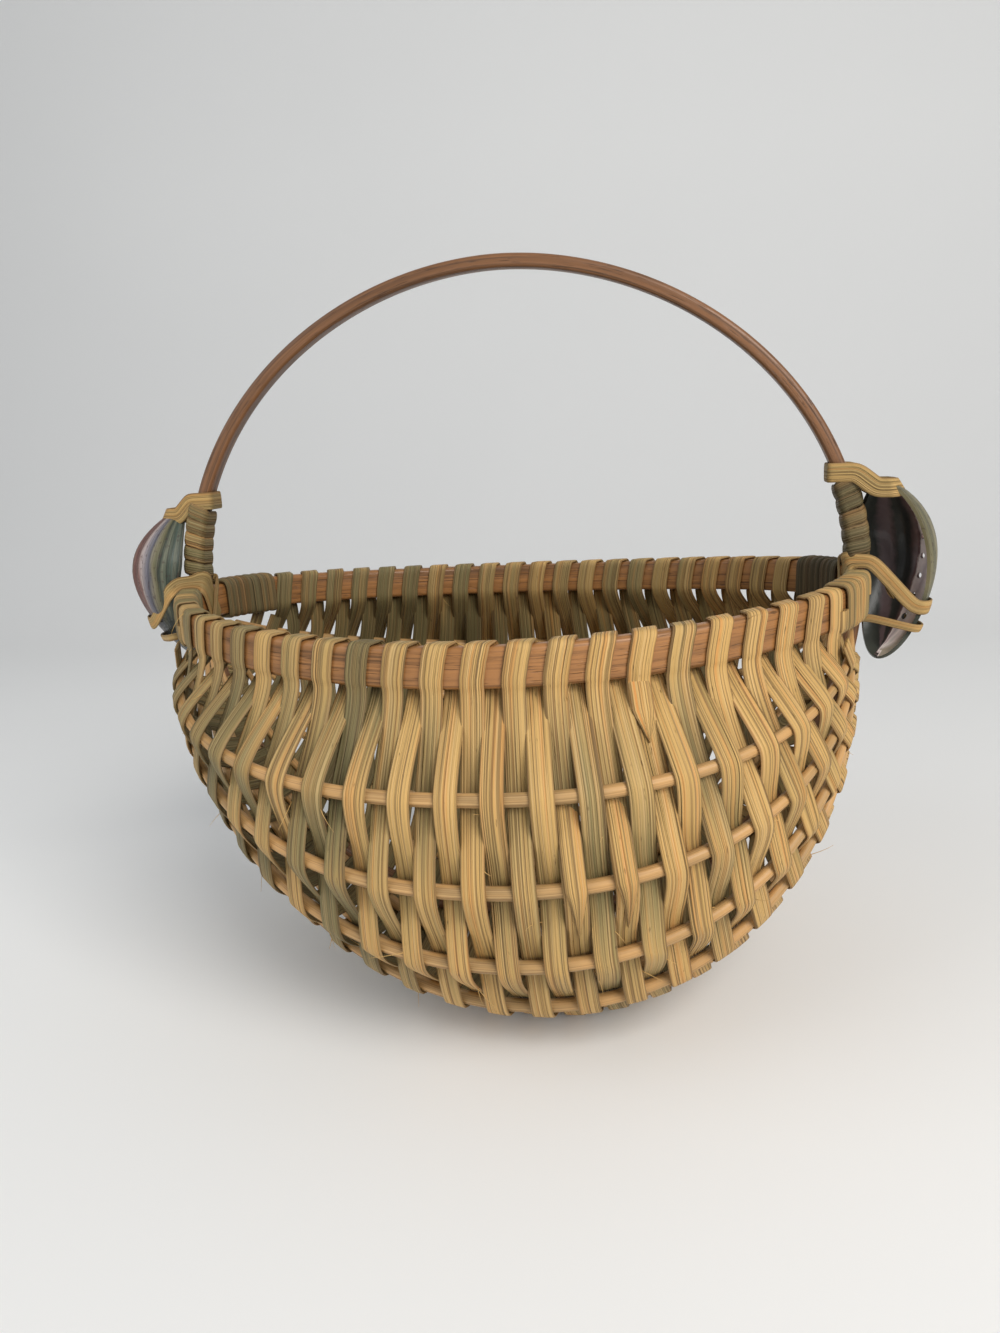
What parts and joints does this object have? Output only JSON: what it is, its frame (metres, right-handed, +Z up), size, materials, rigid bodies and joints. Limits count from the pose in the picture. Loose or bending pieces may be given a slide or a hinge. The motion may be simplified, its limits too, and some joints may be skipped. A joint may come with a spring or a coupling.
{
  "type": "nantucket basket",
  "caption": "Egg-shaped ribbed hoop basket of woven flat reed, with a fixed arched wooden handle and a sea shell lashed to the outside of each joint.",
  "frame": {"origin": "on the ground under the middle of the basket's overall box", "axes": "+X from the left joint to the right joint, -Y toward the front lobe, +Z up along the handle's middle"},
  "size_m": [0.3064, 0.2246, 0.2635],
  "materials": {
    "handle_wood": "satin, bent hardwood, mid brown",
    "rim_wood": "satin, bent hardwood, reddish brown",
    "rib_reed": "matt round reed",
    "flat_reed": "matt flat reed, straw to grey green",
    "binding_reed": "matt flat reed, olive straw",
    "sea_shell": "polished sea shell, pearly inside"
  },
  "bodies": {
    "root": {"handle_hoop": "handle_wood", "rim_hoop": "rim_wood", "front_rib_1": "rib_reed", "front_rib_2": "rib_reed", "front_rib_3": "rib_reed", "front_rib_4": "rib_reed", "front_rib_5": "rib_reed", "front_rib_6": "rib_reed", "back_rib_1": "rib_reed", "back_rib_2": "rib_reed", "back_rib_3": "rib_reed", "back_rib_4": "rib_reed", "back_rib_5": "rib_reed", "back_rib_6": "rib_reed", "weaver_1": "flat_reed", "weaver_2": "flat_reed", "weaver_3": "flat_reed", "weaver_4": "flat_reed", "weaver_5": "flat_reed", "weaver_6": "flat_reed", "weaver_7": "flat_reed", "weaver_8": "flat_reed", "weaver_9": "flat_reed", "weaver_10": "flat_reed", "handle_binding_left": "binding_reed", "handle_binding_right": "binding_reed", "rim_binding_front_left": "binding_reed", "rim_binding_front_right": "binding_reed", "rim_binding_back_left": "binding_reed", "rim_binding_back_right": "binding_reed", "shell_left": "sea_shell", "shell_right": "sea_shell", "strap_top_left": "binding_reed", "strap_top_right": "binding_reed", "strap_middle_left": "binding_reed", "strap_middle_right": "binding_reed", "strap_lower_left": "binding_reed", "strap_lower_right": "binding_reed"}
  },
  "joints": []
}
